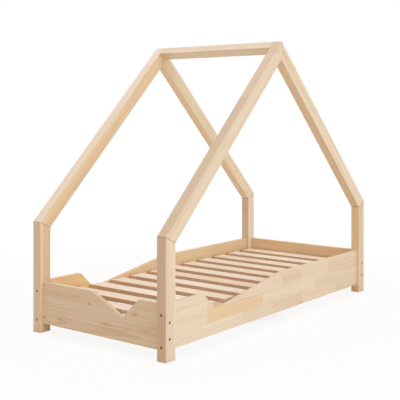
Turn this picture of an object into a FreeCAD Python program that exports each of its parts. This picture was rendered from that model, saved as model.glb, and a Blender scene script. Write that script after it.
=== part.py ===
import FreeCAD, Part
import math
import os

# House frame bed for a small child, built in solid pine.
# Millimetres. Origin on the floor under the middle of the bed, +Z up.
# +X runs along the bed from the end with the notch to the plain end, +Y is the left side.

V = FreeCAD.Vector

# ---------------------------------------------------------------- driving dimensions

# Mattress that the bed takes, and the air around it
mattress_length = 1600.0
mattress_width = 700.0
mattress_end_clearance = 2.0
mattress_side_clearance = 1.0

# Posts and roof timbers
post_along = 60.0            # post section along the bed
post_across = 46.0           # post and rafter section across the bed
rafter_depth = 62.0          # rafter section in the plane of the roof frame
shoulder_height = 487.0      # floor to the outer corner where post and rafter meet
apex_height = 1302.0         # floor to the top of the roof frame
ridge_side = 43.0            # side of the square ridge beam, which lies on edge
timber_round = 2.0           # rounding along posts and rafters
timber_end_ease = 0.8        # chamfer round the ends of posts and rafters
ridge_round = 1.5            # rounding along the ridge beam

# Panels between the posts
panel_thickness = 18.0
panel_recess = 15.0          # outer face of a panel behind the outer face of the posts
panel_bottom = 40.0
panel_top = 224.0
panel_round = 2.5            # rounding along the panel edges

# Low places in the panels, measured from the inner face of the post where each begins
side_notch_offset = 200.0
side_notch_steep_run = 85.0
side_notch_gentle_run = 525.0
side_notch_depth = 82.0
end_notch_offset = 111.0
end_notch_steep_run = 88.0
end_notch_gentle_run = 175.0
end_notch_depth = 84.0
notch_steep_radius = 30.0    # where the steep run leaves the top edge
notch_heel_radius = 15.0     # at the bottom of a notch
notch_gentle_radius = 60.0   # where the gentle run comes back to the top edge

# Slats and the battens that carry them
slat_count = 12
slat_width = 78.0
slat_thickness = 18.0
slat_top = 164.0             # floor to the surface that carries the mattress
slat_round = 2.0
slat_side_clearance = 1.0    # slat end to the inner faces of the posts
first_slat_gap = 5.0         # notched end panel to the first slat
last_slat_gap = 17.0         # last slat to the plain end panel
batten_width = 35.0
batten_height = 30.0
batten_end_clearance = 1.0

# Connector bolts through the posts
bolt_radius = 3.0
bolt_hole_clearance = 0.5
bolt_head_radius = 5.5
bolt_head_height = 4.0
bolt_socket_flats = 4.0
bolt_socket_depth = 2.6
counterbore_radius = 6.0
counterbore_depth = 10.0
thread_clearance = 0.05
side_bolt_below_top = 42.0       # upper bolt of a side panel, from the panel's top
side_bolt_above_bottom = 17.0
end_bolt_below_top = 71.0
end_bolt_above_bottom = 49.0
bolt_past_nut = 6.0

# What the bolts screw into
insert_radius = 5.0
insert_length = 22.0
insert_rib_count = 5
insert_rib_depth = 0.6
barrel_nut_radius = 5.0
barrel_nut_length = 14.0
barrel_nut_inset = 36.0          # from the panel's end to the nut's axis
barrel_nut_slot_width = 1.4
barrel_nut_slot_depth = 1.5
fit_clearance = 0.1              # hardware and dowels in their holes, all round

# Dowels
panel_dowel_radius = 4.0
panel_dowel_length = 36.0
frame_dowel_radius = 4.0
shoulder_dowel_length = 60.0
apex_dowel_length = 36.0
apex_dowel_spacing = 26.0
ridge_dowel_length = 46.0
ridge_dowel_spread = 24.0
shoulder_dowel_spread = 22.0
dowel_end_clearance = 1.0

# Screws
screw_radius = 1.9
screw_point_length = 5.7
screw_point_radius = 0.5
screw_head_radius = 3.8
screw_head_height = 2.2
screw_slot_width = 0.9
screw_slot_length = 4.2
screw_slot_depth = 1.1
slat_screw_length = 35.0
batten_screw_length = 45.0
slat_screw_inset = 11.0          # from the slat's end

# ---------------------------------------------------------------- derived sizes

inner_length = mattress_length + 2 * mattress_end_clearance
inner_width = mattress_width + 2 * mattress_side_clearance
overall_length = inner_length + 2 * (panel_thickness + panel_recess)
overall_width = inner_width + 2 * (panel_thickness + panel_recess)
half_length = overall_length / 2
half_width = overall_width / 2
post_inner_x = half_length - post_along
post_inner_y = half_width - post_across
post_middle_y = half_width - post_across / 2
panel_middle_x = half_length - panel_recess - panel_thickness / 2
panel_middle_y = half_width - panel_recess - panel_thickness / 2
panel_inner_y = inner_width / 2

roof_pitch = math.atan2(apex_height - shoulder_height, half_length)
roof_drop = rafter_depth / math.cos(roof_pitch)
inner_shoulder_height = shoulder_height + post_along * math.tan(roof_pitch) - roof_drop
apex_soffit_height = apex_height - roof_drop
ridge_half_diagonal = ridge_side / math.sqrt(2)
ridge_middle_height = apex_height - ridge_half_diagonal

side_bolt_heights = (panel_bottom + side_bolt_above_bottom, panel_top - side_bolt_below_top)
end_bolt_heights = (panel_bottom + end_bolt_above_bottom, panel_top - end_bolt_below_top)
panel_dowel_height = sum(end_bolt_heights) / 2

slat_length = 2 * (post_inner_y - slat_side_clearance)
slat_run = inner_length - first_slat_gap - last_slat_gap - slat_width
slat_pitch = slat_run / (slat_count - 1)
first_slat_x = -inner_length / 2 + first_slat_gap + slat_width / 2
slat_underside = slat_top - slat_thickness
slat_middles = [first_slat_x + index * slat_pitch for index in range(slat_count)]
slat_screw_y = slat_length / 2 - slat_screw_inset
batten_middle_height = slat_underside - batten_height / 2
batten_half_length = post_inner_x - batten_end_clearance
batten_face_y = panel_inner_y - batten_width
batten_screw_spots = [middle + slat_pitch / 2 for middle in slat_middles[:-1:2]]

ENDS = (("notched", -1), ("plain", 1))
SIDES = (("left", 1), ("right", -1))


# ---------------------------------------------------------------- small shapes

def block(low, high):
    """Box between two opposite corners, given in any order."""
    corner = V(*[min(a, b) for a, b in zip(low, high)])
    size = [abs(a - b) for a, b in zip(low, high)]
    return Part.makeBox(size[0], size[1], size[2], corner)


def rod(start, direction, radius, length):
    return Part.makeCylinder(radius, length, V(*start), V(*direction))


def slab(outline, depth_axis, start, thickness):
    """Flat board: an outline of wire edges, pushed along one axis from start."""
    face = Part.Face(Part.Wire(outline))
    board = face.extrude(depth_axis * thickness)
    board.translate(depth_axis * start)
    return board


def polygon(points):
    return [Part.LineSegment(a, b).toShape() for a, b in zip(points, points[1:] + points[:1])]


def eased_outline(corners):
    """Closed outline from (point, radius) corners, each radius an arc tangent to both runs."""
    count = len(corners)
    arcs = []
    for index, (point, radius) in enumerate(corners):
        before = (corners[index - 1][0] - point).normalize()
        after = (corners[(index + 1) % count][0] - point).normalize()
        if not radius:
            arcs.append((point, None, point))
            continue
        half_turn = before.getAngle(after) / 2
        middle_line = (before + after).normalize()
        setback = radius / math.tan(half_turn)
        centre = point + middle_line * (radius / math.sin(half_turn))
        arcs.append((point + before * setback, centre - middle_line * radius, point + after * setback))
    edges = []
    for index, (start, middle, end) in enumerate(arcs):
        if middle is not None:
            edges.append(Part.Arc(start, middle, end).toShape())
        edges.append(Part.LineSegment(end, arcs[(index + 1) % count][0]).toShape())
    return edges


def rounded(solid, radius, chosen):
    return solid.makeFillet(radius, [edge for edge in solid.Edges if chosen(edge)])


def runs_along(edge, direction):
    if edge.Curve.TypeId != "Part::GeomLine":
        return False
    way = edge.Vertexes[1].Point - edge.Vertexes[0].Point
    return way.cross(direction).Length < 1e-6 * way.Length


def eased_end(timber, point, normal):
    """Chamfer round the end face that lies in one plane."""
    def lies_in_plane(edge):
        first, last = edge.ParameterRange
        spots = [edge.valueAt(first), edge.valueAt((first + last) / 2), edge.valueAt(last)]
        return all(abs((spot - point).dot(normal)) < 1e-5 for spot in spots)
    return timber.makeChamfer(timber_end_ease, [edge for edge in timber.Edges if lies_in_plane(edge)])


def cut_all(solid, tools):
    return solid.cut(Part.makeCompound(tools)).Solids[0] if tools else solid


# ---------------------------------------------------------------- joinery shared by the pieces

def side_fixings(end, side):
    """Bolt and dowel axes that join a side panel to a post: start at the panel's end, going in."""
    y = side * panel_middle_y
    bolts = [V(end * post_inner_x, y, height) for height in side_bolt_heights]
    dowel = V(end * post_inner_x, y, panel_dowel_height)
    return bolts, dowel, V(-end, 0, 0)


def end_fixings(end, side):
    """The same for an end panel and a post."""
    x = end * panel_middle_x
    bolts = [V(x, side * post_inner_y, height) for height in end_bolt_heights]
    dowel = V(x, side * post_inner_y, panel_dowel_height)
    return bolts, dowel, V(0, -side, 0)


def post_fixings(end, side):
    """Both sets at one post, with the post's thickness along each."""
    return ((side_fixings(end, side), post_along), (end_fixings(end, side), post_across))


def shoulder_mitre(end):
    """Outer corner of the mitre between post and rafter, and the mitre's normal."""
    along_mitre = V(-end * post_along, 0, inner_shoulder_height - shoulder_height)
    return V(end * half_length, 0, shoulder_height), V(0, 1, 0).cross(along_mitre).normalize()


def shoulder_dowel_axes(end, side):
    """Two dowels square to the mitre between post and rafter: middle point and direction."""
    _, normal = shoulder_mitre(end)
    middle_x = end * (half_length - post_along / 2)
    middle_z = (shoulder_height + inner_shoulder_height) / 2
    offsets = (-shoulder_dowel_spread / 2, shoulder_dowel_spread / 2)
    return [(V(middle_x, side * post_middle_y + offset, middle_z), normal) for offset in offsets]


def apex_dowel_axes(side):
    middle_z = (2 * apex_soffit_height + apex_height) / 3
    offsets = (-apex_dowel_spacing / 2, apex_dowel_spacing / 2)
    return [(V(0, side * post_middle_y, middle_z + offset), V(1, 0, 0)) for offset in offsets]


def ridge_dowel_axes(side):
    x_offsets = (-ridge_dowel_spread / 2, ridge_dowel_spread / 2)
    return [(V(x, side * post_inner_y, ridge_middle_height), V(0, 1, 0)) for x in x_offsets]


def dowel_hole(middle, direction, radius, length):
    """Hole for a dowel centred on a joint, a little wider and longer than the dowel."""
    reach = length + 2 * dowel_end_clearance
    return rod(middle - direction * (reach / 2), direction, radius + fit_clearance, reach)


def dowel(middle, direction, radius, length):
    return rod(middle - direction * (length / 2), direction, radius, length)


# ---------------------------------------------------------------- timbers

def post(end, side):
    outer_x, inner_x = end * half_length, end * post_inner_x
    outline = polygon([
        V(outer_x, 0, 0),
        V(outer_x, 0, shoulder_height),
        V(inner_x, 0, inner_shoulder_height),
        V(inner_x, 0, 0),
    ])
    start = post_inner_y if side > 0 else -half_width
    timber = slab(outline, V(0, 1, 0), start, post_across)
    timber = eased_end(timber, V(0, 0, 0), V(0, 0, 1))
    timber = eased_end(timber, *shoulder_mitre(end))
    timber = rounded(timber, timber_round, lambda edge: runs_along(edge, V(0, 0, 1)))
    holes = []
    for (bolts, dowel_point, inward), thickness in post_fixings(end, side):
        outward = inward * -1
        for point in bolts:
            floor = point + outward * (thickness - counterbore_depth)
            holes.append(rod(point, outward, bolt_radius + bolt_hole_clearance, thickness))
            holes.append(rod(floor, outward, counterbore_radius, counterbore_depth))
        holes.append(dowel_hole(dowel_point, inward, panel_dowel_radius, panel_dowel_length))
    for middle, direction in shoulder_dowel_axes(end, side):
        holes.append(dowel_hole(middle, direction, frame_dowel_radius, shoulder_dowel_length))
    return cut_all(timber, holes)


def rafter(end, side):
    outline = polygon([
        V(end * half_length, 0, shoulder_height),
        V(0, 0, apex_height),
        V(0, 0, apex_soffit_height),
        V(end * post_inner_x, 0, inner_shoulder_height),
    ])
    start = post_inner_y if side > 0 else -half_width
    slope = V(-end * math.cos(roof_pitch), 0, math.sin(roof_pitch))
    timber = slab(outline, V(0, 1, 0), start, post_across)
    timber = eased_end(timber, *shoulder_mitre(end))
    timber = eased_end(timber, V(0, 0, apex_height), V(1, 0, 0))
    timber = rounded(timber, timber_round, lambda edge: runs_along(edge, slope))
    holes = []
    for middle, direction in shoulder_dowel_axes(end, side):
        holes.append(dowel_hole(middle, direction, frame_dowel_radius, shoulder_dowel_length))
    for middle, direction in apex_dowel_axes(side):
        holes.append(dowel_hole(middle, direction, frame_dowel_radius, apex_dowel_length))
    for middle, direction in ridge_dowel_axes(side):
        holes.append(dowel_hole(middle, direction, frame_dowel_radius, ridge_dowel_length))
    return cut_all(timber, holes)


def ridge_beam():
    reach = ridge_half_diagonal
    outline = polygon([
        V(0, 0, ridge_middle_height + reach),
        V(reach, 0, ridge_middle_height),
        V(0, 0, ridge_middle_height - reach),
        V(-reach, 0, ridge_middle_height),
    ])
    beam = slab(outline, V(0, 1, 0), -post_inner_y, 2 * post_inner_y)
    beam = rounded(beam, ridge_round, lambda edge: runs_along(edge, V(0, 1, 0)))
    holes = []
    for _, side in SIDES:
        for middle, direction in ridge_dowel_axes(side):
            holes.append(dowel_hole(middle, direction, frame_dowel_radius, ridge_dowel_length))
    return cut_all(beam, holes)


# ---------------------------------------------------------------- panels

def notch_corners(start, offset, steep_run, gentle_run, depth):
    """Corners of a notch in the top edge of a board that begins at start: (distance, height, radius)."""
    return [
        (start + offset, panel_top, notch_steep_radius),
        (start + offset + steep_run, panel_top - depth, notch_heel_radius),
        (start + offset + steep_run + gentle_run, panel_top, notch_gentle_radius),
    ]


def panel_board(half_span, corners, along, across, middle):
    """Board between two posts, its top edge following corners."""
    profile = [(-half_span, panel_bottom, 0.0), (-half_span, panel_top, 0.0)]
    profile += corners
    profile += [(half_span, panel_top, 0.0), (half_span, panel_bottom, 0.0)]
    points = [(along * distance + V(0, 0, height), radius) for distance, height, radius in profile]
    board = slab(eased_outline(points), across, middle - panel_thickness / 2, panel_thickness)

    def is_long_edge(edge):
        return not runs_along(edge, across) and not runs_along(edge, V(0, 0, 1))
    return rounded(board, panel_round, is_long_edge)


def side_panel(side):
    corners = notch_corners(-post_inner_x, side_notch_offset, side_notch_steep_run,
                            side_notch_gentle_run, side_notch_depth)
    board = panel_board(post_inner_x, corners, V(1, 0, 0), V(0, 1, 0), side * panel_middle_y)
    holes = []
    for _, end in ENDS:
        bolts, dowel_point, inward = side_fixings(end, side)
        for point in bolts:
            holes.append(rod(point, inward, insert_radius + fit_clearance, insert_length))
            holes.append(rod(point, inward, bolt_radius + bolt_hole_clearance,
                             insert_length + bolt_past_nut + dowel_end_clearance))
        holes.append(dowel_hole(dowel_point, inward, panel_dowel_radius, panel_dowel_length))
    for x in batten_screw_spots:
        into = V(0, side, 0)
        tip = batten_screw_length - batten_width
        start = (x, side * panel_inner_y, batten_middle_height)
        holes.append(rod(start, into, screw_radius + thread_clearance, tip + dowel_end_clearance))
    return cut_all(board, holes)


def barrel_nut_spot(point, inward, end):
    """Middle of the barrel nut on a bolt, and the way from it to the panel's inner face."""
    return point + inward * barrel_nut_inset, V(-end, 0, 0)


def end_panel(end):
    corners = []
    if end < 0:
        corners = notch_corners(-post_inner_y, end_notch_offset, end_notch_steep_run,
                                end_notch_gentle_run, end_notch_depth)
    board = panel_board(post_inner_y, corners, V(0, 1, 0), V(1, 0, 0), end * panel_middle_x)
    holes = []
    for _, side in SIDES:
        bolts, dowel_point, inward = end_fixings(end, side)
        for point in bolts:
            middle, to_face = barrel_nut_spot(point, inward, end)
            bottom = middle - to_face * (barrel_nut_length / 2 + fit_clearance)
            mouth = barrel_nut_length / 2 + fit_clearance + panel_thickness
            holes.append(rod(bottom, to_face, barrel_nut_radius + fit_clearance, mouth))
            holes.append(rod(point, inward, bolt_radius + bolt_hole_clearance,
                             barrel_nut_inset + barrel_nut_radius + bolt_past_nut + dowel_end_clearance))
        holes.append(dowel_hole(dowel_point, inward, panel_dowel_radius, panel_dowel_length))
    return cut_all(board, holes)


# ---------------------------------------------------------------- slats and battens

def screw_hole(head_point, direction, length):
    """Countersunk hole for a wood screw whose head lies flush at head_point."""
    shank = rod(head_point, direction, screw_radius + thread_clearance, length + dowel_end_clearance)
    sink = Part.makeCone(screw_head_radius + thread_clearance, screw_radius + thread_clearance,
                         screw_head_height, head_point, direction)
    return shank.fuse(sink)


def slat_screws_at(x):
    return [V(x, side * slat_screw_y, slat_top) for _, side in SIDES]


def slat(index):
    x = slat_middles[index]
    board = block((x - slat_width / 2, -slat_length / 2, slat_underside),
                  (x + slat_width / 2, slat_length / 2, slat_top))
    board = rounded(board, slat_round, lambda edge: runs_along(edge, V(0, 1, 0)))
    return cut_all(board, [screw_hole(point, V(0, 0, -1), slat_screw_length)
                           for point in slat_screws_at(x)])


def batten(side):
    bar = block((-batten_half_length, side * batten_face_y, slat_underside - batten_height),
                (batten_half_length, side * panel_inner_y, slat_underside))
    free_side = side * batten_face_y
    bar = rounded(bar, slat_round, lambda edge: runs_along(edge, V(1, 0, 0))
                  and abs(edge.CenterOfMass.y - free_side) < 1e-6)
    holes = [screw_hole(point, V(0, 0, -1), slat_screw_length)
             for x in slat_middles for point in slat_screws_at(x) if point.y * side > 0]
    holes += [screw_hole(V(x, free_side, batten_middle_height), V(0, side, 0), batten_screw_length)
              for x in batten_screw_spots]
    return cut_all(bar, holes)


# ---------------------------------------------------------------- hardware

def connector_bolt(seat, direction, length):
    """Flat cylinder head with a hexagon socket, its underside at seat, shank along direction."""
    head = rod(seat - direction * bolt_head_height, direction, bolt_head_radius, bolt_head_height)
    bolt = head.fuse(rod(seat, direction, bolt_radius, length))
    side_step = direction.cross(V(0, 0, 1)).normalize()
    corner_reach = bolt_socket_flats / math.sqrt(3)
    mouth = seat - direction * bolt_head_height
    corners = []
    for turn in range(6):
        angle = math.radians(60 * turn)
        corners.append(mouth + side_step * (corner_reach * math.cos(angle))
                       + V(0, 0, corner_reach * math.sin(angle)))
    socket = Part.Face(Part.Wire(polygon(corners))).extrude(direction * bolt_socket_depth)
    return bolt.cut(socket).Solids[0]


def side_bolt_length():
    return post_along - counterbore_depth + insert_length + bolt_past_nut


def end_bolt_length():
    return post_across - counterbore_depth + barrel_nut_inset + barrel_nut_radius + bolt_past_nut


def threaded_insert(mouth, inward):
    """Sleeve in the panel's end grain with shallow ribs and a threaded bore."""
    body = rod(mouth, inward, insert_radius, insert_length)
    step = insert_length / (insert_rib_count + 1)
    for index in range(1, insert_rib_count + 1):
        start = mouth + inward * (index * step - step / 4)
        groove = rod(start, inward, insert_radius, step / 2)
        core = rod(start, inward, insert_radius - insert_rib_depth, step / 2)
        body = body.cut(groove.cut(core))
    return body.cut(rod(mouth, inward, bolt_radius + thread_clearance, insert_length)).Solids[0]


def barrel_nut(middle, to_face, bolt_direction):
    """Cross nut with a tapped hole through its side and a screwdriver slot in its open end."""
    start = middle - to_face * (barrel_nut_length / 2)
    body = rod(start, to_face, barrel_nut_radius, barrel_nut_length)
    tapped = rod(middle - bolt_direction * barrel_nut_radius, bolt_direction,
                 bolt_radius + thread_clearance, 2 * barrel_nut_radius)
    top = middle + to_face * (barrel_nut_length / 2)
    half_slot = V(0, 0, barrel_nut_slot_width / 2) + bolt_direction * barrel_nut_radius
    slot = block(tuple(top - half_slot), tuple(top + half_slot - to_face * barrel_nut_slot_depth))
    return body.cut(tapped).cut(slot).Solids[0]


def wood_screw(head_point, direction, length):
    """Countersunk screw with a cross recess, its head flush at head_point."""
    shank_length = length - screw_point_length
    shank = rod(head_point, direction, screw_radius, shank_length)
    tip = Part.makeCone(screw_radius, screw_point_radius, screw_point_length,
                        head_point + direction * shank_length, direction)
    head = Part.makeCone(screw_head_radius, screw_radius, screw_head_height, head_point, direction)
    across = V(1, 0, 0)
    other = direction.cross(across)
    screw = shank.fuse([tip, head])
    for long_way, short_way in ((across, other), (other, across)):
        reach = long_way * (screw_slot_length / 2) + short_way * (screw_slot_width / 2)
        slot = block(tuple(head_point - reach), tuple(head_point + reach + direction * screw_slot_depth))
        screw = screw.cut(slot)
    return screw.Solids[0]


# ---------------------------------------------------------------- groups of like pieces

def side_panel_bolts():
    pieces = []
    for _, end in ENDS:
        for _, side in SIDES:
            bolts, _, inward = side_fixings(end, side)
            for point in bolts:
                seat = point - inward * (post_along - counterbore_depth)
                pieces.append(connector_bolt(seat, inward, side_bolt_length()))
    return pieces


def end_panel_bolts():
    pieces = []
    for _, end in ENDS:
        for _, side in SIDES:
            bolts, _, inward = end_fixings(end, side)
            for point in bolts:
                seat = point - inward * (post_across - counterbore_depth)
                pieces.append(connector_bolt(seat, inward, end_bolt_length()))
    return pieces


def threaded_inserts():
    pieces = []
    for _, end in ENDS:
        for _, side in SIDES:
            bolts, _, inward = side_fixings(end, side)
            pieces += [threaded_insert(point, inward) for point in bolts]
    return pieces


def barrel_nuts():
    pieces = []
    for _, end in ENDS:
        for _, side in SIDES:
            bolts, _, inward = end_fixings(end, side)
            for point in bolts:
                middle, to_face = barrel_nut_spot(point, inward, end)
                pieces.append(barrel_nut(middle, to_face, inward))
    return pieces


def panel_dowels():
    pieces = []
    for _, end in ENDS:
        for _, side in SIDES:
            for (_, point, inward), _ in post_fixings(end, side):
                pieces.append(dowel(point, inward, panel_dowel_radius, panel_dowel_length))
    return pieces


def shoulder_dowels():
    return [dowel(middle, direction, frame_dowel_radius, shoulder_dowel_length)
            for _, end in ENDS for _, side in SIDES
            for middle, direction in shoulder_dowel_axes(end, side)]


def apex_dowels():
    return [dowel(middle, direction, frame_dowel_radius, apex_dowel_length)
            for _, side in SIDES for middle, direction in apex_dowel_axes(side)]


def ridge_dowels():
    return [dowel(middle, direction, frame_dowel_radius, ridge_dowel_length)
            for _, side in SIDES for middle, direction in ridge_dowel_axes(side)]


def slat_screws():
    return [wood_screw(point, V(0, 0, -1), slat_screw_length)
            for x in slat_middles for point in slat_screws_at(x)]


def batten_screws():
    return [wood_screw(V(x, side * batten_face_y, batten_middle_height), V(0, side, 0),
                       batten_screw_length)
            for _, side in SIDES for x in batten_screw_spots]


# ---------------------------------------------------------------- build and write

def all_nodes():
    nodes = {}
    for end_name, end in ENDS:
        for side_name, side in SIDES:
            nodes["post_%s_%s" % (end_name, side_name)] = post(end, side)
            nodes["rafter_%s_%s" % (end_name, side_name)] = rafter(end, side)
        nodes["end_panel_%s" % end_name] = end_panel(end)
    for side_name, side in SIDES:
        nodes["side_panel_%s" % side_name] = side_panel(side)
        nodes["slat_batten_%s" % side_name] = batten(side)
    nodes["ridge_beam"] = ridge_beam()
    for index in range(slat_count):
        nodes["slat_%02d" % (index + 1)] = slat(index)
    groups = (side_panel_bolts, end_panel_bolts, threaded_inserts, barrel_nuts, panel_dowels,
              shoulder_dowels, apex_dowels, ridge_dowels, slat_screws, batten_screws)
    for group in groups:
        nodes[group.__name__] = Part.makeCompound(group())
    return nodes


os.makedirs("parts", exist_ok=True)
for name, shape in all_nodes().items():
    shape.exportStep("parts/%s.step" % name)
    print("%-24s solids %2d  volume %10.0f  valid %s"
          % (name, len(shape.Solids), shape.Volume, shape.isValid()))
print("overall %.0f x %.0f x %.0f, slat pitch %.1f, roof pitch %.1f degrees"
      % (overall_length, overall_width, apex_height, slat_pitch, math.degrees(roof_pitch)))
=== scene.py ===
import bpy
import math
import random
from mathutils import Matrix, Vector

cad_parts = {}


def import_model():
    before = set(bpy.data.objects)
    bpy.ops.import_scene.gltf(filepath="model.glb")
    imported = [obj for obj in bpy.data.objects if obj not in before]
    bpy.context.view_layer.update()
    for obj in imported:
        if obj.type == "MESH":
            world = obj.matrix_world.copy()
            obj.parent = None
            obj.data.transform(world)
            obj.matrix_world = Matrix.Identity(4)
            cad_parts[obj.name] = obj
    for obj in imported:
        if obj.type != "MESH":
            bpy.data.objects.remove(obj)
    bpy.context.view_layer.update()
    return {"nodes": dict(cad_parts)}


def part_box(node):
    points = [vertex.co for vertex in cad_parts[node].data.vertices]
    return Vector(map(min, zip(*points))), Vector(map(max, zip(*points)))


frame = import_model()
nodes = frame["nodes"]

# ---------------------------------------------------------------- sizes read from the frame

X_AXIS = Vector((1, 0, 0))
Y_AXIS = Vector((0, 1, 0))
Z_AXIS = Vector((0, 0, 1))
END_SIGNS = {"notched": -1, "plain": 1}
SIDE_SIGNS = {"right": -1, "left": 1}

post_low, post_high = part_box("post_plain_left")
rafter_low, rafter_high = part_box("rafter_plain_left")
ridge_low, ridge_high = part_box("ridge_beam")
half_length = post_high.x
post_along = post_high.x - post_low.x
shoulder = Vector((half_length, 0, post_high.z))
apex = Vector((0, 0, rafter_high.z))
roof_way = (apex - shoulder).normalized()
roof_pitch = math.atan2(roof_way.z, -roof_way.x)
rafter_depth = 0.062         # square to the rafter, which lies aslant in its box
inner_shoulder = rafter_low.z

# ---------------------------------------------------------------- colours, linear RGB


def srgb(red, green, blue):
    """Linear colour from the 0 to 255 numbers of a colour picker."""
    parts = [channel / 255 for channel in (red, green, blue)]
    linear = [((p + 0.055) / 1.055) ** 2.4 if p > 0.04045 else p / 12.92 for p in parts]
    return (*linear, 1.0)


KNOT_HEART = srgb(176, 118, 74)
KNOT_RING = srgb(150, 97, 60)
KNOT_RIM = srgb(112, 70, 44)
SEAM = srgb(112, 76, 48)
LATE_TINT = (0.83, 0.66, 0.46)       # what each mark leaves of the plain wood's red, green and blue
HONEY_TINT = (0.94, 0.86, 0.72)
BLUSH_TINT = (0.95, 0.87, 0.86)
RESIN_TINT = (0.70, 0.52, 0.38)
END_TINT = (0.82, 0.74, 0.62)

# ---------------------------------------------------------------- short calls for shader nodes


class Tree:
    """Wraps a node tree: each call adds one node, feeds its sockets and returns its output."""

    def __init__(self, tree):
        self.tree = tree

    def add(self, kind, feeds=None, **settings):
        node = self.tree.nodes.new(kind)
        for name, value in settings.items():
            setattr(node, name, value)
        for key, value in (feeds or {}).items():
            self.feed(node.inputs[key], value)
        return node

    def feed(self, socket, value):
        if isinstance(value, bpy.types.NodeSocket):
            self.tree.links.new(value, socket)
        else:
            socket.default_value = value

    def math(self, operation, *values):
        return self.add("ShaderNodeMath", dict(enumerate(values)), operation=operation).outputs[0]

    def vector(self, operation, *values):
        node = self.add("ShaderNodeVectorMath", dict(enumerate(values)), operation=operation)
        scalar = operation in ("DOT_PRODUCT", "LENGTH", "DISTANCE")
        return node.outputs["Value" if scalar else "Vector"]

    def join(self, x, y, z):
        return self.add("ShaderNodeCombineXYZ", {0: x, 1: y, 2: z}).outputs[0]

    def split(self, vector):
        return self.add("ShaderNodeSeparateXYZ", {0: vector}).outputs

    def channels(self, colour):
        return self.add("ShaderNodeSeparateColor", {0: colour}).outputs

    def noise(self, place, density, detail=2.0, roughness=0.5):
        """Noise from 0 to 1, with so many features per metre each way."""
        feeds = {"Vector": self.vector("MULTIPLY", place, density), "Scale": 1.0,
                 "Detail": detail, "Roughness": roughness}
        return self.add("ShaderNodeTexNoise", feeds).outputs[0]

    def dice(self, vector):
        """Three random numbers that are the same wherever the vector is."""
        return self.add("ShaderNodeTexWhiteNoise", {"Vector": vector}).outputs["Color"]

    def either_way(self, value, spread):
        """From minus to plus half the spread, as value goes from 0 to 1."""
        return self.math("MULTIPLY_ADD", value, spread, -spread / 2)

    def smooth(self, value, start, end, low=0.0, high=1.0):
        """From low to high, gently, as value goes from start to end."""
        feeds = {"Value": value, 1: start, 2: end, 3: low, 4: high}
        return self.add("ShaderNodeMapRange", feeds, interpolation_type="SMOOTHSTEP").outputs[0]

    def mix(self, factor, first, second):
        """First colour at factor 0, second colour at factor 1."""
        node = self.add("ShaderNodeMix", data_type="RGBA")
        factor_socket, first_socket, second_socket = (node.inputs[index] for index in (0, 6, 7))
        self.feed(factor_socket, factor)
        self.feed(first_socket, first)
        self.feed(second_socket, second)
        return node.outputs[2]

    def tinted(self, amount, colour, tint):
        """Colour times tint, as far as amount says."""
        return self.mix(amount, colour, self.vector("MULTIPLY", colour, tint))


# ---------------------------------------------------------------- pine

# Growth rings, in metres
RING_WIDTH = 0.0036          # narrowest
RING_WIDTH_SPREAD = 0.0046
PITH_SPREAD = 0.15           # how far beside a board its tree's heart may lie
PITH_NEAREST = 0.012         # how far under the board's middle it lies at least
PITH_DEPTH_SPREAD = 0.070
PITH_LEAN = 0.05             # how much the heart runs out of line with the board
RING_WANDER = 0.022          # how far rings stray over a few decimetres
RING_RIPPLE = 0.0026         # and over a few centimetres
YEARS_UNLIKE = 1.6           # how unevenly wide the years are, in rings
YEARS_RATE = 0.35            # how much of that unevenness passes in one ring
LATE_STARTS = 0.15           # shares of a ring: where its latewood starts to darken,
LATE_DARKEST = 0.90          # where it is darkest,
LATE_STOPS = 0.93            # and where it breaks off before the next year

# Knots
KNOT_CELLS = 5.6             # cells per metre, at most one knot in each
KNOT_SCATTER = 0.8           # 1 lets a knot lie anywhere in its cell
KNOT_RADIUS = 0.0030
KNOT_RADIUS_SPREAD = 0.0055
KNOT_LENGTHENED = 1.35       # a knot's length along the grain, by its width
KNOT_RAGGED = 0.5            # how uneven its edge is, in knot radii
KNOT_SWERVE = 0.010          # how far rings bend round a knot
SWERVE_FADE = 0.12           # how fast that bend dies out, per squared knot radius
HEART_RING = 0.16            # width of the rings in a knot, in knot radii
KNOT_EDGE = (1.06, 0.92)     # a knot's wood starts and is full, in knot radii
RIM_OUTSIDE = (1.35, 1.0)    # its dark rim starts and is full outside,
RIM_INSIDE = (0.70, 1.0)     # and inside
FAR = 60.0                   # knot distance, in knot radii, that stands for no knot

# Features per metre along, across and through the board, for each kind of unevenness
WANDER_GRAIN = (2.2, 7.0, 7.0)
RIPPLE_GRAIN = (9.0, 45.0, 45.0)
FADE_GRAIN = (3.0, 16.0, 16.0)
BLUSH_GRAIN = (1.3, 24.0, 24.0)
STREAK_GRAIN = (4.0, 130.0, 130.0)
FIBRE_GRAIN = (14.0, 1100.0, 1100.0)
RESIN_GRAIN = (95.0, 2600.0, 2600.0)
KNOT_GRAIN = (120.0, 160.0, 60.0)

# Where in its noise each thing starts to show, and where it shows in full
BLUSH_NOISE = (0.48, 0.72)
HONEY_NOISE = (0.44, 0.76)
MARK_NOISE = (0.25, 0.60)
FADE_NOISE = (0.25, 0.70)
RESIN_NOISE = (0.70, 0.82)
RESIN_LATE = (0.05, 0.5)     # resin shows most in latewood at least this dark

# How strongly each thing shows in the colour, 0 to 1
LATE_SHOWS = 0.55
LATE_WEAKEST = 0.35          # share that is left of latewood where it fades
MARK_WEAKEST = 0.45          # and of a mark between its streaks
RESIN_WEAKEST = 0.25         # and of resin between the rings
FIBRE_SHOWS = 0.12
RESIN_SHOWS = 0.40
KNOT_SHOWS = 0.8
KNOT_RIM_SHOWS = 0.6

# Roughness of planed pine, and what end grain, fibres and latewood add to it
PINE_ROUGHNESS = 0.46
END_ROUGHNESS = 0.15
FIBRE_ROUGHNESS = 0.16
LATE_ROUGHNESS = -0.08

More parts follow.
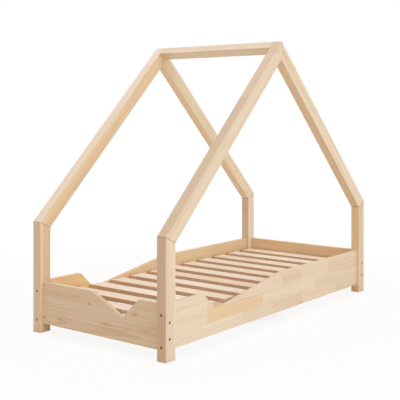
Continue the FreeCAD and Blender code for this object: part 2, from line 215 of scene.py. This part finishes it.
# Height of the surface, as a share of the bump distance
FIBRE_HEIGHT = 0.6
LATE_HEIGHT = 0.5
KNOT_HEIGHT = 0.4
SEAM_HEIGHT = -2.0


class PineWood(Tree):
    """The nodes of solid pine, with one method for each thing that shows in the wood."""

    def __init__(self, group):
        super().__init__(group)
        self.given = self.add("NodeGroupInput").outputs
        seed = self.given["Seed"]
        stave_and_seed = self.vector("ADD", self.given["Stave"], self.join(seed, seed, seed))
        self.luck = self.channels(self.dice(stave_and_seed))[0]
        # the number beside luck and seed only keeps one throw of the dice apart from the next
        self.draw = self.channels(self.dice(self.join(self.luck, seed, 0.5)))
        self.draw_more = self.channels(self.dice(self.join(seed, self.luck, 2.5)))
        other_wood = self.join(
            self.math("MULTIPLY_ADD", self.luck, 9.0, self.math("MULTIPLY", seed, 0.13)),
            self.math("MULTIPLY", self.luck, 0.41), self.math("MULTIPLY", seed, 0.003))
        self.place = self.vector("ADD", self.given["Place"], other_wood)

    def knots(self):
        """Distance to the nearest knot in knot radii, and a tone for it from 0 to 1.

        A cell of the board's face holds at most one knot, and only if its luck says so.
        """
        cells = self.add("ShaderNodeTexVoronoi", {
            "Vector": self.vector("MULTIPLY", self.place, (1 / KNOT_LENGTHENED, 1.0, 0.0)),
            "Scale": KNOT_CELLS, "Randomness": KNOT_SCATTER}, voronoi_dimensions="2D").outputs
        cell_luck, cell_size, cell_tone = self.channels(cells["Color"])[:3]
        has_knot = self.math("LESS_THAN", cell_luck, self.given["Knots"])
        radius = self.math("MULTIPLY_ADD", cell_size, KNOT_RADIUS_SPREAD, KNOT_RADIUS)
        distance = self.math("DIVIDE", self.math("DIVIDE", cells["Distance"], KNOT_CELLS), radius)
        no_knot = self.math("MULTIPLY", self.math("SUBTRACT", 1.0, has_knot), FAR)
        distance = self.math("MINIMUM", self.math("ADD", distance, no_knot), self.given["Knot"])
        ragged = self.either_way(self.noise(self.place, KNOT_GRAIN, 1.0), KNOT_RAGGED)
        return self.math("ADD", distance, ragged), cell_tone

    def rings(self, near_knot):
        """Growth rings counted from the tree's heart, which leans and wanders along the board."""
        along, across, through = self.split(self.given["Place"])
        lean_across = self.either_way(self.draw[2], PITH_LEAN)
        lean_through = self.either_way(self.draw_more[2], PITH_LEAN)
        heart_across = self.either_way(self.draw[0], PITH_SPREAD)
        heart_across = self.math("MULTIPLY_ADD", along, lean_across, heart_across)
        heart_depth = self.math("MULTIPLY_ADD", self.draw[1], -PITH_DEPTH_SPREAD, -PITH_NEAREST)
        heart_depth = self.math("MULTIPLY_ADD", along, lean_through, heart_depth)
        radius = self.vector("LENGTH", self.join(self.math("SUBTRACT", across, heart_across),
                                                 self.math("SUBTRACT", through, heart_depth), 0.0))
        wander = self.noise(self.place, WANDER_GRAIN)
        ripple = self.noise(self.place, RIPPLE_GRAIN)
        radius = self.math("MULTIPLY_ADD", wander, RING_WANDER, radius)
        radius = self.math("MULTIPLY_ADD", ripple, RING_RIPPLE, radius)
        radius = self.math("MULTIPLY_ADD", near_knot, -KNOT_SWERVE, radius)
        ring_width = self.math("MULTIPLY_ADD", self.draw_more[0], RING_WIDTH_SPREAD, RING_WIDTH)
        rings = self.math("DIVIDE", radius, ring_width)
        years = self.add("ShaderNodeTexNoise", {
            "W": self.math("MULTIPLY_ADD", rings, YEARS_RATE, self.luck),
            "Scale": 1.0, "Detail": 0.0}, noise_dimensions="1D").outputs[0]
        return self.math("MULTIPLY_ADD", years, YEARS_UNLIKE, rings)

    def latewood(self, rings):
        """The dark line of each ring, stronger in some years and fading here and there."""
        phase = self.math("FRACT", rings)
        late = self.math("MULTIPLY", self.smooth(phase, LATE_STARTS, LATE_DARKEST),
                         self.smooth(phase, 1.0, LATE_STOPS))
        year = self.math("FLOOR", rings)
        year_luck = self.channels(self.dice(self.join(year, self.luck, 7.0)))[0]
        fade = self.noise(self.place, FADE_GRAIN, 1.0)
        strength = self.math("MULTIPLY", self.math("MULTIPLY_ADD", year_luck, 0.7, 0.3),
                             self.smooth(fade, *FADE_NOISE, LATE_WEAKEST, 1.0))
        strength = self.math("MULTIPLY", strength, self.given["Figure"])
        return self.math("MULTIPLY", late, strength)

    def plain_colour(self, late, streak, fibre):
        """The stave's own tone with blush, honey streaks, latewood, marks, fibres and resin."""
        blush = self.smooth(self.noise(self.place, BLUSH_GRAIN), *BLUSH_NOISE)
        blush = self.math("MULTIPLY", blush, self.math("MULTIPLY_ADD", self.draw_more[1], 0.8, 0.2))
        colour = self.tinted(blush, self.given["Stave"], BLUSH_TINT)
        honey = self.math("MULTIPLY", self.smooth(streak, *HONEY_NOISE),
                          self.math("MULTIPLY_ADD", self.given["Figure"], 0.5, 0.15))
        colour = self.tinted(honey, colour, HONEY_TINT)
        colour = self.tinted(self.math("MULTIPLY", late, LATE_SHOWS), colour, LATE_TINT)
        # placed marks take the latewood's tint; some are dark streaks, some are painted shade where
        # boards meet
        streaky = self.smooth(streak, *MARK_NOISE, MARK_WEAKEST, 1.0)
        mark = self.math("MULTIPLY", self.given["Mark"], streaky)
        colour = self.tinted(mark, colour, LATE_TINT)
        grain = self.math("MULTIPLY_ADD", fibre, FIBRE_SHOWS, 1.0 - FIBRE_SHOWS / 2)
        colour = self.vector("MULTIPLY", colour, self.join(grain, grain, grain))
        resin = self.smooth(self.noise(self.place, RESIN_GRAIN, 0.0), *RESIN_NOISE)
        resin = self.math("MULTIPLY", resin, self.smooth(late, *RESIN_LATE, RESIN_WEAKEST, 1.0))
        return self.tinted(self.math("MULTIPLY", resin, RESIN_SHOWS), colour, RESIN_TINT)

    def with_knots(self, colour, from_knot, near_knot, in_knot, tone):
        """Colour with a halo round each knot, the rings in it and its dark rim."""
        halo = self.math("MULTIPLY", near_knot, self.math("MULTIPLY_ADD", tone, 0.35, 0.45))
        colour = self.tinted(halo, colour, LATE_TINT)
        heart_rings = self.math("PINGPONG", from_knot, HEART_RING)
        heart = self.mix(self.smooth(heart_rings, HEART_RING, 0.0), KNOT_HEART, KNOT_RING)
        colour = self.mix(self.math("MULTIPLY", in_knot, KNOT_SHOWS), colour, heart)
        rim = self.math("MULTIPLY", self.smooth(from_knot, *RIM_INSIDE),
                        self.smooth(from_knot, *RIM_OUTSIDE))
        return self.mix(self.math("MULTIPLY", rim, KNOT_RIM_SHOWS), colour, KNOT_RIM)

    def finish(self):
        """Joins everything to the group's outputs."""
        from_knot, knot_tone = self.knots()
        in_knot = self.smooth(from_knot, *KNOT_EDGE)
        knot_squared = self.math("MULTIPLY", from_knot, from_knot)
        near_knot = self.math("EXPONENT", self.math("MULTIPLY", knot_squared, -SWERVE_FADE))
        late = self.latewood(self.rings(near_knot))
        streak = self.noise(self.place, STREAK_GRAIN)
        fibre = self.noise(self.place, FIBRE_GRAIN, 2.0, 0.6)
        colour = self.plain_colour(late, streak, fibre)
        colour = self.with_knots(colour, from_knot, near_knot, in_knot, knot_tone)
        colour = self.tinted(self.given["End grain"], colour, END_TINT)
        colour = self.mix(self.given["Seam"], colour, SEAM)

        roughness = self.math("MULTIPLY_ADD", fibre, FIBRE_ROUGHNESS, PINE_ROUGHNESS)
        roughness = self.math("MULTIPLY_ADD", late, LATE_ROUGHNESS, roughness)
        roughness = self.math("MULTIPLY_ADD", self.given["End grain"], END_ROUGHNESS, roughness)
        height = self.math("MULTIPLY", late, LATE_HEIGHT)
        height = self.math("MULTIPLY_ADD", fibre, FIBRE_HEIGHT, height)
        height = self.math("MULTIPLY_ADD", in_knot, KNOT_HEIGHT, height)
        height = self.math("MULTIPLY_ADD", self.given["Seam"], SEAM_HEIGHT, height)
        self.add("NodeGroupOutput", {"Color": colour, "Roughness": roughness, "Height": height})


def pine_group():
    """Solid pine as a node group.

    Place is metres along, across and through the board. Stave is the plain wood's colour.
    Mark is 0 to 1 for a placed dark streak or a patch of painted shade, Knot the distance to a
    placed knot in knot radii.
    """
    group = bpy.data.node_groups.new("solid_pine", "ShaderNodeTree")
    face = group.interface
    for name, kind in (("Place", "NodeSocketVector"), ("Stave", "NodeSocketColor"),
                       ("Seed", "NodeSocketFloat"), ("Figure", "NodeSocketFloat"),
                       ("Knots", "NodeSocketFloat"), ("Knot", "NodeSocketFloat"),
                       ("Mark", "NodeSocketFloat"), ("End grain", "NodeSocketFloat"),
                       ("Seam", "NodeSocketFloat")):
        face.new_socket(name=name, in_out="INPUT", socket_type=kind)
    for name, kind in (("Color", "NodeSocketColor"), ("Roughness", "NodeSocketFloat"),
                       ("Height", "NodeSocketFloat")):
        face.new_socket(name=name, in_out="OUTPUT", socket_type=kind)
    PineWood(group).finish()
    return group


PINE = pine_group()

FINGER_PITCH = 0.0038        # finger joints between staves, seen on a board's edge
FINGER_LENGTH = 0.009
GLUE_LINE = 0.0005           # half width of the line between two rows of staves
GLUE_SHOWS = 0.35
END_GRAIN_TURN = (0.15, 0.65)    # cosine from face to grain where end grain starts and is full
BUMP_DISTANCE = 0.00025
BUMP_STRENGTH = 0.35


def stave_map(tree, along, across, through, rows):
    """Plain wood's colour for each stave of rows: (upper edge, [(start, tone), ...])."""
    finger = tree.math("PINGPONG", through, FINGER_PITCH / 2)
    fingered = tree.math("MULTIPLY_ADD", finger, 2 * FINGER_LENGTH / FINGER_PITCH, along)
    colour = None
    edge_below = None
    for upper_edge, staves in rows:
        row_colour = srgb(*staves[0][1])
        for start, tone in staves[1:]:
            past_start = tree.math("GREATER_THAN", fingered, start)
            row_colour = tree.mix(past_start, row_colour, srgb(*tone))
        if colour is None:
            colour = row_colour
        else:
            colour = tree.mix(tree.math("GREATER_THAN", across, edge_below), colour, row_colour)
        edge_below = upper_edge
    return colour


def glue_lines(tree, across, rows):
    """1 on the thin line between two rows of staves, 0 elsewhere."""
    line = 0.0
    for edge, _ in rows[:-1]:
        distance = tree.math("ABSOLUTE", tree.math("SUBTRACT", across, edge))
        line = tree.math("MAXIMUM", line, tree.smooth(distance, GLUE_LINE, 0.0))
    return line


def away_from(tree, along, across, spot, reach, width):
    """Distance to a spot, counted in reach along the grain and in width across it."""
    step_along = tree.math("DIVIDE", tree.math("SUBTRACT", along, spot[0]), reach)
    step_across = tree.math("DIVIDE", tree.math("SUBTRACT", across, spot[1]), width)
    return tree.vector("LENGTH", tree.join(step_along, step_across, 0.0))


def pine(name, centre, grain, width_way, rows, seed, figure=1.0, knots=0.0, seams=(), placed=(),
         marks=()):
    """Pine for one board: its centre, grain and width directions, its staves and its seams.

    A seam is (point, normal, half width, strength): a dark line where the board meets another.
    A placed knot is (along, across, radius), a mark (along, across, reach, width, strength).
    """
    material = bpy.data.materials.new(name)
    material.use_nodes = True
    material.node_tree.nodes.clear()
    tree = Tree(material.node_tree)
    thickness_way = grain.cross(width_way).normalized()
    position = tree.add("ShaderNodeTexCoord").outputs["Object"]
    local = tree.vector("SUBTRACT", position, centre)
    along, across, through = [tree.vector("DOT_PRODUCT", local, way)
                              for way in (grain, width_way, thickness_way)]
    stave = stave_map(tree, along, across, through, rows)
    normal = tree.add("ShaderNodeNewGeometry").outputs["True Normal"]
    facing_end = tree.math("ABSOLUTE", tree.vector("DOT_PRODUCT", normal, grain))
    end_grain = tree.smooth(facing_end, *END_GRAIN_TURN)
    seam = tree.math("MULTIPLY", glue_lines(tree, across, rows), GLUE_SHOWS)
    for point, seam_normal, half_width, strength in seams:
        from_point = tree.vector("SUBTRACT", position, point)
        distance = tree.math("ABSOLUTE", tree.vector("DOT_PRODUCT", from_point, seam_normal))
        line = tree.smooth(distance, half_width, 0.0, 0.0, strength)
        seam = tree.math("MAXIMUM", seam, line)
    knot = FAR
    for knot_along, knot_across, radius in placed:
        reach = KNOT_LENGTHENED * radius
        away = away_from(tree, along, across, (knot_along, knot_across), reach, radius)
        knot = tree.math("MINIMUM", knot, away)
    mark = 0.0
    for mark_along, mark_across, reach, width, strength in marks:
        away = away_from(tree, along, across, (mark_along, mark_across), reach, width)
        mark = tree.math("MAXIMUM", mark, tree.smooth(away, 1.0, 0.0, 0.0, strength))
    wood = tree.add("ShaderNodeGroup", node_tree=PINE)
    for key, value in (("Place", tree.join(along, across, through)), ("Stave", stave),
                       ("Seed", seed), ("Figure", figure), ("Knots", knots), ("Knot", knot),
                       ("Mark", mark), ("End grain", end_grain), ("Seam", seam)):
        tree.feed(wood.inputs[key], value)
    bump = tree.add("ShaderNodeBump", {"Height": wood.outputs["Height"], "Strength": BUMP_STRENGTH,
                                       "Distance": BUMP_DISTANCE})
    shader = tree.add("ShaderNodeBsdfPrincipled", {
        "Base Color": wood.outputs["Color"], "Roughness": wood.outputs["Roughness"],
        "Normal": bump.outputs[0], "IOR": 1.46, "Specular IOR Level": 0.35})
    tree.add("ShaderNodeOutputMaterial", {"Surface": shader.outputs[0]})
    return material


def dress(node_name, material):
    """Gives a CAD node one material in every slot."""
    for slot in nodes[node_name].material_slots:
        slot.material = material


# ---------------------------------------------------------------- boards and their staves

# Tones of pine between its marks, 0 to 255 as in a colour picker
PALE = (241, 229, 216)
MILK = (239, 224, 205)
IVORY = (237, 220, 196)
HONEY = (240, 217, 186)
AMBER = (242, 211, 168)
CREAM = (232, 216, 197)
LINEN = (229, 212, 192)
STRAW = (232, 209, 178)
WHEAT = (229, 204, 172)
SAND = (225, 208, 186)
FAWN = (220, 201, 179)
# painted shade: the darker tone of the slats' side faces
SLAT_SIDE_SHADE = (228, 198, 173)

# A strip is (upper edge, tone): metres across the board from its middle, and the tone of its
# staves. A strip 2.5 mm wide shows on one narrow face only.
POST_STRIPS = {
    "notched_right": [(-0.0275, FAWN), (-0.0020, LINEN), (0.0180, LINEN), (0.0300, CREAM)],
    "notched_left": [(-0.0275, LINEN), (-0.0120, HONEY), (0.0100, WHEAT), (0.0300, WHEAT)],
    "plain_right": [(-0.0275, HONEY), (-0.0100, FAWN), (0.0120, FAWN), (0.0300, SAND)],
    "plain_left": [(-0.0275, LINEN), (-0.0080, PALE), (0.0120, MILK), (0.0300, PALE)],
}
RAFTER_STRIPS = {
    "notched_right": [(-0.0285, SAND), (-0.0100, LINEN), (0.0100, CREAM), (0.0285, LINEN),
                      (0.0310, FAWN)],
    "notched_left": [(-0.0285, WHEAT), (-0.0100, WHEAT), (0.0100, STRAW), (0.0285, STRAW),
                     (0.0310, PALE)],
    "plain_right": [(-0.0285, STRAW), (-0.0100, LINEN), (0.0100, CREAM), (0.0285, LINEN),
                    (0.0310, LINEN)],
    "plain_left": [(-0.0285, HONEY), (-0.0100, IVORY), (0.0100, MILK), (0.0285, IVORY),
                   (0.0310, MILK)],
}
RIDGE_STRIPS = [(-0.0190, MILK), (0.0000, MILK), (0.0215, CREAM)]
PLAIN_END_STRIPS = [(0.010, HONEY), (0.095, HONEY)]
BATTEN_STRIPS = [(0.020, STRAW)]
SLAT_TONES = (PALE, IVORY, PALE, MILK)
SLAT_SHADED_EDGE = 0.0018           # depth of the painted shade on a slat's long edges: its side faces and this much of its top take the darker tone
JITTER = 3.5                 # how much a stave's tone may differ from its strip's

# Rows of staves from the bottom up: the row's upper edge, then where each stave starts along it.
RIGHT_PANEL_ROWS = [
    (-0.036, [(-0.80, CREAM), (-0.29, LINEN), (-0.06, SAND), (0.215, LINEN), (0.55, SAND)]),
    (0.018, [(-0.80, CREAM), (-0.545, WHEAT), (-0.125, LINEN), (0.34, SAND)]),
    (0.095, [(-0.80, CREAM), (-0.545, LINEN), (0.035, SAND), (0.215, LINEN), (0.47, SAND)]),
]
LEFT_PANEL_ROWS = [
    (-0.036, [(-0.80, AMBER), (-0.42, WHEAT), (0.12, STRAW)]),
    (0.018, [(-0.80, AMBER), (-0.30, STRAW), (0.38, WHEAT)]),
    (0.095, [(-0.80, AMBER), (-0.48, WHEAT), (-0.02, STRAW), (0.45, WHEAT)]),
]
NOTCHED_END_ROWS = [(0.095, [(-0.40, CREAM)])]
NOTCHED_END_KNOTS = [(0.050, 0.034, 0.0024)]

# A mark darkens a patch of the wood: along, across, reach, width and strength. Some marks are dark
# streaks in the wood and some are painted shade, as said at each.
NOTCHED_END_MARKS = [
    (0.224, -0.053, 0.022, 0.010, 0.95),
    (0.175, -0.050, 0.060, 0.006, 0.80),
    (-0.053, -0.035, 0.060, 0.014, 0.95),
    (-0.115, -0.034, 0.045, 0.006, 0.70),
    (-0.163, -0.040, 0.026, 0.009, 0.60),
    (-0.207, 0.029, 0.034, 0.013, 0.90),
    (0.130, 0.055, 0.042, 0.006, 0.80),
    (0.235, 0.046, 0.110, 0.004, 0.60),
    (-0.265, 0.056, 0.070, 0.004, 0.75),
    (-0.262, -0.028, 0.040, 0.006, 0.60),
    (0.010, -0.074, 0.050, 0.006, 0.45),
]
POST_MARKS_AND_SHADE = {
    "notched_right": [(-0.1250, -0.0300, 0.130, 0.003, 0.28)],
    # the first two marks are painted shade: a dark line down the post in the corner where the end
    # panel meets it, and a darker foot below that panel
    "notched_left": [(-0.1115, -0.0165, 0.140, 0.005, 0.80), (-0.2300, -0.0040, 0.035, 0.024, 0.65),
                     (0.2050, 0.0260, 0.070, 0.008, 0.45)],
    # darkens the post's -X face at its foot
    "plain_right": [(-0.2350, -0.0300, 0.040, 0.010, 0.45)],
}
RAFTER_MARKS = {
    "notched_right": [(0.520, 0.0250, 0.050, 0.010, 0.45)],
    "plain_left": [(0.470, 0.0, 0.100, 0.040, 0.35)],
}
# painted shade in the corner where the ridge's far end meets the far frame's rafter
RIDGE_END_SHADE = [(0.330, -0.0215, 0.110, 0.020, 0.55)]

STAVE_LENGTHS = (0.28, 0.62)     # shortest and longest
MITRE_SEAM_HALF_WIDTH = 0.0016
MITRE_SEAM_SHOWS = 0.85
APEX_SEAM_HALF_WIDTHS = {"right": 0.0009, "left": 0.0019}
APEX_SEAM_SHOWS = 0.80

# Each board's seed picks its rings, knots and fibres.
POST_SEED = 11
RAFTER_SEED = 31
RIDGE_SEED = 51
RIGHT_PANEL_SEED = 61
LEFT_PANEL_SEED = 67
PLAIN_END_SEED = 79
FIRST_SLAT_SEED = 90
BATTEN_SEEDS = {"right": 121, "left": 123}
NOTCHED_END_SEED = 140


def stave_row(dice, half_run, tone):
    """Staves glued end to end: (start, tone) for each, every tone a little its own."""
    row = []
    start = -half_run
    while start < half_run:
        shift = dice.uniform(-JITTER, JITTER)
        row.append((start, tuple(channel + shift for channel in tone)))
        start += dice.uniform(*STAVE_LENGTHS)
    return row


def laminate(seed, half_run, strips):
    """Rows of staves for a board glued from strips; the seed picks joints and shifts of tone."""
    dice = random.Random(seed)
    return [(edge, stave_row(dice, half_run, tone)) for edge, tone in strips]


def mitre_seam(end):
    """Seam on the mitre between post and rafter."""
    inner = Vector((end * (half_length - post_along), 0, inner_shoulder))
    outer = Vector((end * half_length, 0, shoulder.z))
    normal = (inner - outer).cross(Y_AXIS).normalized()
    return outer, normal, MITRE_SEAM_HALF_WIDTH, MITRE_SEAM_SHOWS


def dress_posts():
    for end_name, end in END_SIGNS.items():
        for side_name, side in SIDE_SIGNS.items():
            name = "%s_%s" % (end_name, side_name)
            low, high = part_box("post_" + name)
            seed = POST_SEED + 2 * end + side
            rows = laminate(seed, high.z / 2, POST_STRIPS[name])
            wood = pine("pine_post_" + name, (low + high) / 2, Z_AXIS, X_AXIS, rows, seed,
                        figure=0.8, knots=0.04, seams=(mitre_seam(end),),
                        marks=POST_MARKS_AND_SHADE.get(name, ()))
            dress("post_" + name, wood)


def dress_rafters():
    run = (apex - shoulder).length
    for end_name, end in END_SIGNS.items():
        way = Vector((-end * math.cos(roof_pitch), 0, math.sin(roof_pitch)))
        depth_way = Vector((end * math.sin(roof_pitch), 0, math.cos(roof_pitch)))
        for side_name, side in SIDE_SIGNS.items():
            name = "%s_%s" % (end_name, side_name)
            low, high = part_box("rafter_" + name)
            top_middle = (Vector((end * half_length, 0, shoulder.z)) + apex) / 2
            centre = top_middle - depth_way * rafter_depth / 2 + Y_AXIS * (low.y + high.y) / 2
            seed = RAFTER_SEED + 2 * end + side
            rows = laminate(seed, run / 2, RAFTER_STRIPS[name])
            apex_seam = (apex, X_AXIS, APEX_SEAM_HALF_WIDTHS[side_name], APEX_SEAM_SHOWS)
            wood = pine("pine_rafter_" + name, centre, way, depth_way, rows, seed, figure=0.8,
                        knots=0.04, seams=(apex_seam, mitre_seam(end)),
                        marks=RAFTER_MARKS.get(name, ()))
            dress("rafter_" + name, wood)


def dress_ridge():
    slope = Vector((1, 0, 1)).normalized()
    rows = laminate(RIDGE_SEED, ridge_high.y, RIDGE_STRIPS)
    wood = pine("pine_ridge", (ridge_low + ridge_high) / 2, Y_AXIS, slope, rows, RIDGE_SEED,
                figure=0.8, marks=RIDGE_END_SHADE)
    dress("ridge_beam", wood)


def dress_board(name, grain, width_way, rows, seed, **looks):
    """Pine for a board whose sides are square to the axes."""
    low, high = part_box(name)
    dress(name, pine("pine_" + name, (low + high) / 2, grain, width_way, rows, seed, **looks))


def dress_panels():
    dress_board("side_panel_right", X_AXIS, Z_AXIS, RIGHT_PANEL_ROWS, RIGHT_PANEL_SEED, figure=0.9)
    dress_board("side_panel_left", X_AXIS, Z_AXIS, LEFT_PANEL_ROWS, LEFT_PANEL_SEED, figure=1.1,
                knots=0.05)
    dress_board("end_panel_notched", Y_AXIS, Z_AXIS, NOTCHED_END_ROWS, NOTCHED_END_SEED, figure=1.5,
                placed=NOTCHED_END_KNOTS, marks=NOTCHED_END_MARKS)
    half_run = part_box("end_panel_plain")[1].y
    rows = laminate(PLAIN_END_SEED, half_run, PLAIN_END_STRIPS)
    dress_board("end_panel_plain", Y_AXIS, Z_AXIS, rows, PLAIN_END_SEED, figure=1.1, knots=0.12)


def dress_slats():
    slat_names = sorted(name for name in nodes if name[:5] == "slat_" and name[5:].isdigit())
    for number, name in enumerate(slat_names):
        low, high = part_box(name)
        tone = SLAT_TONES[number % len(SLAT_TONES)]
        half_width = (high.x - low.x) / 2
        inside_edge = half_width - SLAT_SHADED_EDGE
        # painted shade on the slat's sides and the edges of its top
        strips = ((-inside_edge, SLAT_SIDE_SHADE), (inside_edge, tone), (half_width, SLAT_SIDE_SHADE))
        rows = [(edge, [(-high.y, strip_tone)]) for edge, strip_tone in strips]
        dress_board(name, Y_AXIS, X_AXIS, rows, FIRST_SLAT_SEED + number, figure=0.6, knots=0.04)


def dress_battens():
    for side_name, seed in BATTEN_SEEDS.items():
        name = "slat_batten_" + side_name
        rows = laminate(seed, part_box(name)[1].x, BATTEN_STRIPS)
        dress_board(name, X_AXIS, Z_AXIS, rows, seed, knots=0.1)


# ---------------------------------------------------------------- beech dowels and steel

BEECH_FLECK_GRAIN = (420.0, 420.0, 420.0)      # features per metre each way
BEECH_CLOUD_GRAIN = (90.0, 90.0, 90.0)
PLATING_GRAIN = (260.0, 260.0, 260.0)
SCRATCH_GRAIN = (300.0, 4200.0, 2600.0)
SCRATCH_ROUGHNESS = 0.22     # how much the roughness differs between scratches
BEECH = srgb(214, 176, 132)
BEECH_FLECK = srgb(170, 118, 76)
ZINC_LIGHT = srgb(196, 198, 199)
ZINC_DARK = srgb(142, 146, 150)
YELLOW_LIGHT = srgb(206, 188, 128)
YELLOW_DARK = srgb(168, 150, 110)


def beech(name):
    """Raw beech with its short dark flecks."""
    material = bpy.data.materials.new(name)
    material.use_nodes = True
    tree = Tree(material.node_tree)
    position = tree.add("ShaderNodeTexCoord").outputs["Object"]
    fleck = tree.smooth(tree.noise(position, BEECH_FLECK_GRAIN, 1.0), 0.60, 0.74)
    cloud = tree.noise(position, BEECH_CLOUD_GRAIN, 3.0)
    colour = tree.mix(tree.math("MULTIPLY", fleck, 0.6), BEECH, BEECH_FLECK)
    colour = tree.mix(tree.math("MULTIPLY", cloud, 0.3), colour, BEECH_FLECK)
    bump = tree.add("ShaderNodeBump", {"Height": cloud, "Strength": 0.3, "Distance": 0.0002})
    roughness = tree.math("MULTIPLY_ADD", cloud, 0.2, 0.5)
    shader = material.node_tree.nodes["Principled BSDF"]
    for key, value in (("Base Color", colour), ("Roughness", roughness),
                       ("Normal", bump.outputs[0])):
        tree.feed(shader.inputs[key], value)
    return material


def plated_steel(name, light, dark, roughness):
    """Plated steel: cloudy plating with fine scratches."""
    material = bpy.data.materials.new(name)
    material.use_nodes = True
    tree = Tree(material.node_tree)
    position = tree.add("ShaderNodeTexCoord").outputs["Object"]
    cloud = tree.noise(position, PLATING_GRAIN, 3.0)
    scratch = tree.noise(position, SCRATCH_GRAIN, 1.0)
    colour = tree.mix(tree.smooth(cloud, 0.35, 0.65), light, dark)
    scratched = tree.math("ADD", tree.either_way(scratch, SCRATCH_ROUGHNESS), roughness)
    bump = tree.add("ShaderNodeBump", {"Height": scratch, "Strength": 0.15, "Distance": 0.00005})
    shader = material.node_tree.nodes["Principled BSDF"]
    shader.inputs["Metallic"].default_value = 1.0
    for key, value in (("Base Color", colour), ("Roughness", scratched),
                       ("Normal", bump.outputs[0])):
        tree.feed(shader.inputs[key], value)
    return material


def dress_fixings():
    dowel = beech("beech_dowel")
    for name in ("panel_dowels", "shoulder_dowels", "apex_dowels", "ridge_dowels"):
        dress(name, dowel)
    zinc = plated_steel("zinc_steel", ZINC_LIGHT, ZINC_DARK, 0.36)
    for name in ("side_panel_bolts", "end_panel_bolts", "threaded_inserts", "barrel_nuts"):
        dress(name, zinc)
    yellow = plated_steel("screw_steel", YELLOW_LIGHT, YELLOW_DARK, 0.40)
    for name in ("slat_screws", "batten_screws"):
        dress(name, yellow)


dress_posts()
dress_rafters()
dress_ridge()
dress_panels()
dress_slats()
dress_battens()
dress_fixings()

# ---------------------------------------------------------------- floor, light and camera

FLOOR_HALF = 14.0
FLOOR_TINT = srgb(238, 237, 235)
FLOOR_GLOW = 0.89            # share of plain white that the camera sees on the floor near the bed
FLOOR_NEAR = 1.1             # metres from the bed's middle where that share starts to grow
FLOOR_FAR = 2.2              # and where it is all white
FLOOR_SHADE = (0.10, 0.36)   # the bed's shade shows in full up to here, and is paler from here on
WORLD_TINT = (1.0, 0.72, 0.44, 1.0)      # warm light from all around, against the cool lamps
WORLD_LIGHT = 0.57
LAMP_TARGET = (0, 0, 0.4)
# place, side in metres, power in watts and colour of each square lamp
SOFTBOXES = {
    "front": ((-1.3, -12.0, 3.2), 5.3, 640, (0.78, 0.93, 1.0)),
    "top": ((0.0, 1.0, 12.0), 8.0, 900, (0.68, 0.83, 1.0)),
}


def white_for_camera(tree):
    """1 for rays from the camera, and for those that metal and glass send on."""
    path = tree.add("ShaderNodeLightPath").outputs
    seen = tree.math("MAXIMUM", path["Is Camera Ray"], path["Is Glossy Ray"])
    return tree.math("MAXIMUM", seen, path["Is Transmission Ray"])


def floor():
    mesh = bpy.data.meshes.new("floor")
    turns = ((-1, -1), (1, -1), (1, 1), (-1, 1))
    corners = [(x * FLOOR_HALF, y * FLOOR_HALF, 0.0) for x, y in turns]
    mesh.from_pydata(corners, [], [(0, 1, 2, 3)])
    plane = bpy.data.objects.new("floor", mesh)
    bpy.context.scene.collection.objects.link(plane)
    material = bpy.data.materials.new("floor_white")
    material.cycles.emission_sampling = "NONE"      # the glow is for the eye and is no lamp
    material.use_nodes = True
    material.node_tree.nodes.clear()
    tree = Tree(material.node_tree)
    matt = tree.add("ShaderNodeBsdfDiffuse", {"Color": FLOOR_TINT}).outputs[0]
    glow = tree.add("ShaderNodeEmission", {"Color": (1, 1, 1, 1), "Strength": 1.0}).outputs[0]
    position = tree.add("ShaderNodeTexCoord").outputs["Object"]
    away = tree.vector("LENGTH", position)
    glow_here = tree.smooth(away, FLOOR_NEAR, FLOOR_FAR, FLOOR_GLOW, 1.0)
    glow_here = tree.math("MULTIPLY", glow_here, tree.smooth(away, *FLOOR_SHADE))
    share = tree.math("MULTIPLY", white_for_camera(tree), glow_here)
    surface = tree.add("ShaderNodeMixShader", {0: share, 1: matt, 2: glow}).outputs[0]
    tree.add("ShaderNodeOutputMaterial", {"Surface": surface})
    mesh.materials.append(material)


def world():
    sky = bpy.data.worlds.new("studio")
    bpy.context.scene.world = sky
    sky.use_nodes = True
    sky.node_tree.nodes.clear()
    tree = Tree(sky.node_tree)
    light = tree.add("ShaderNodeBackground", {"Color": WORLD_TINT, "Strength": WORLD_LIGHT})
    seen = tree.add("ShaderNodeBackground", {"Color": (1, 1, 1, 1), "Strength": 1.0})
    feeds = {0: white_for_camera(tree), 1: light.outputs[0], 2: seen.outputs[0]}
    surface = tree.add("ShaderNodeMixShader", feeds).outputs[0]
    tree.add("ShaderNodeOutputWorld", {"Surface": surface})


def softbox(name, place, size, power, colour):
    data = bpy.data.lights.new(name, "AREA")
    data.shape = "SQUARE"
    data.size = size
    data.energy = power
    data.color = colour
    lamp = bpy.data.objects.new(name, data)
    lamp.location = place
    lamp.rotation_euler = (Vector(LAMP_TARGET) - Vector(place)).to_track_quat("-Z", "Y").to_euler()
    bpy.context.scene.collection.objects.link(lamp)


CAMERA_PLACE = (-3.3018, -2.4684, 0.9746)
CAMERA_YAW = 37.85           # degrees from +X towards +Y
FOCAL_PIXELS = 835.2
HORIZON_ROW = 111.41
IMAGE_SIZE = 400
SENSOR = 36.0


def camera():
    data = bpy.data.cameras.new("camera")
    data.sensor_width = SENSOR
    data.lens = FOCAL_PIXELS / IMAGE_SIZE * SENSOR
    data.shift_y = (HORIZON_ROW - IMAGE_SIZE / 2) / IMAGE_SIZE
    view = bpy.data.objects.new("camera", data)
    view.location = CAMERA_PLACE
    yaw = math.radians(CAMERA_YAW)
    look = Vector((math.cos(yaw), math.sin(yaw), 0))
    view.rotation_euler = look.to_track_quat("-Z", "Y").to_euler()
    bpy.context.scene.collection.objects.link(view)
    bpy.context.scene.camera = view


floor()
world()
for softbox_name, settings in SOFTBOXES.items():
    softbox(softbox_name, *settings)
camera()
bpy.context.scene.view_settings.view_transform = "Standard"
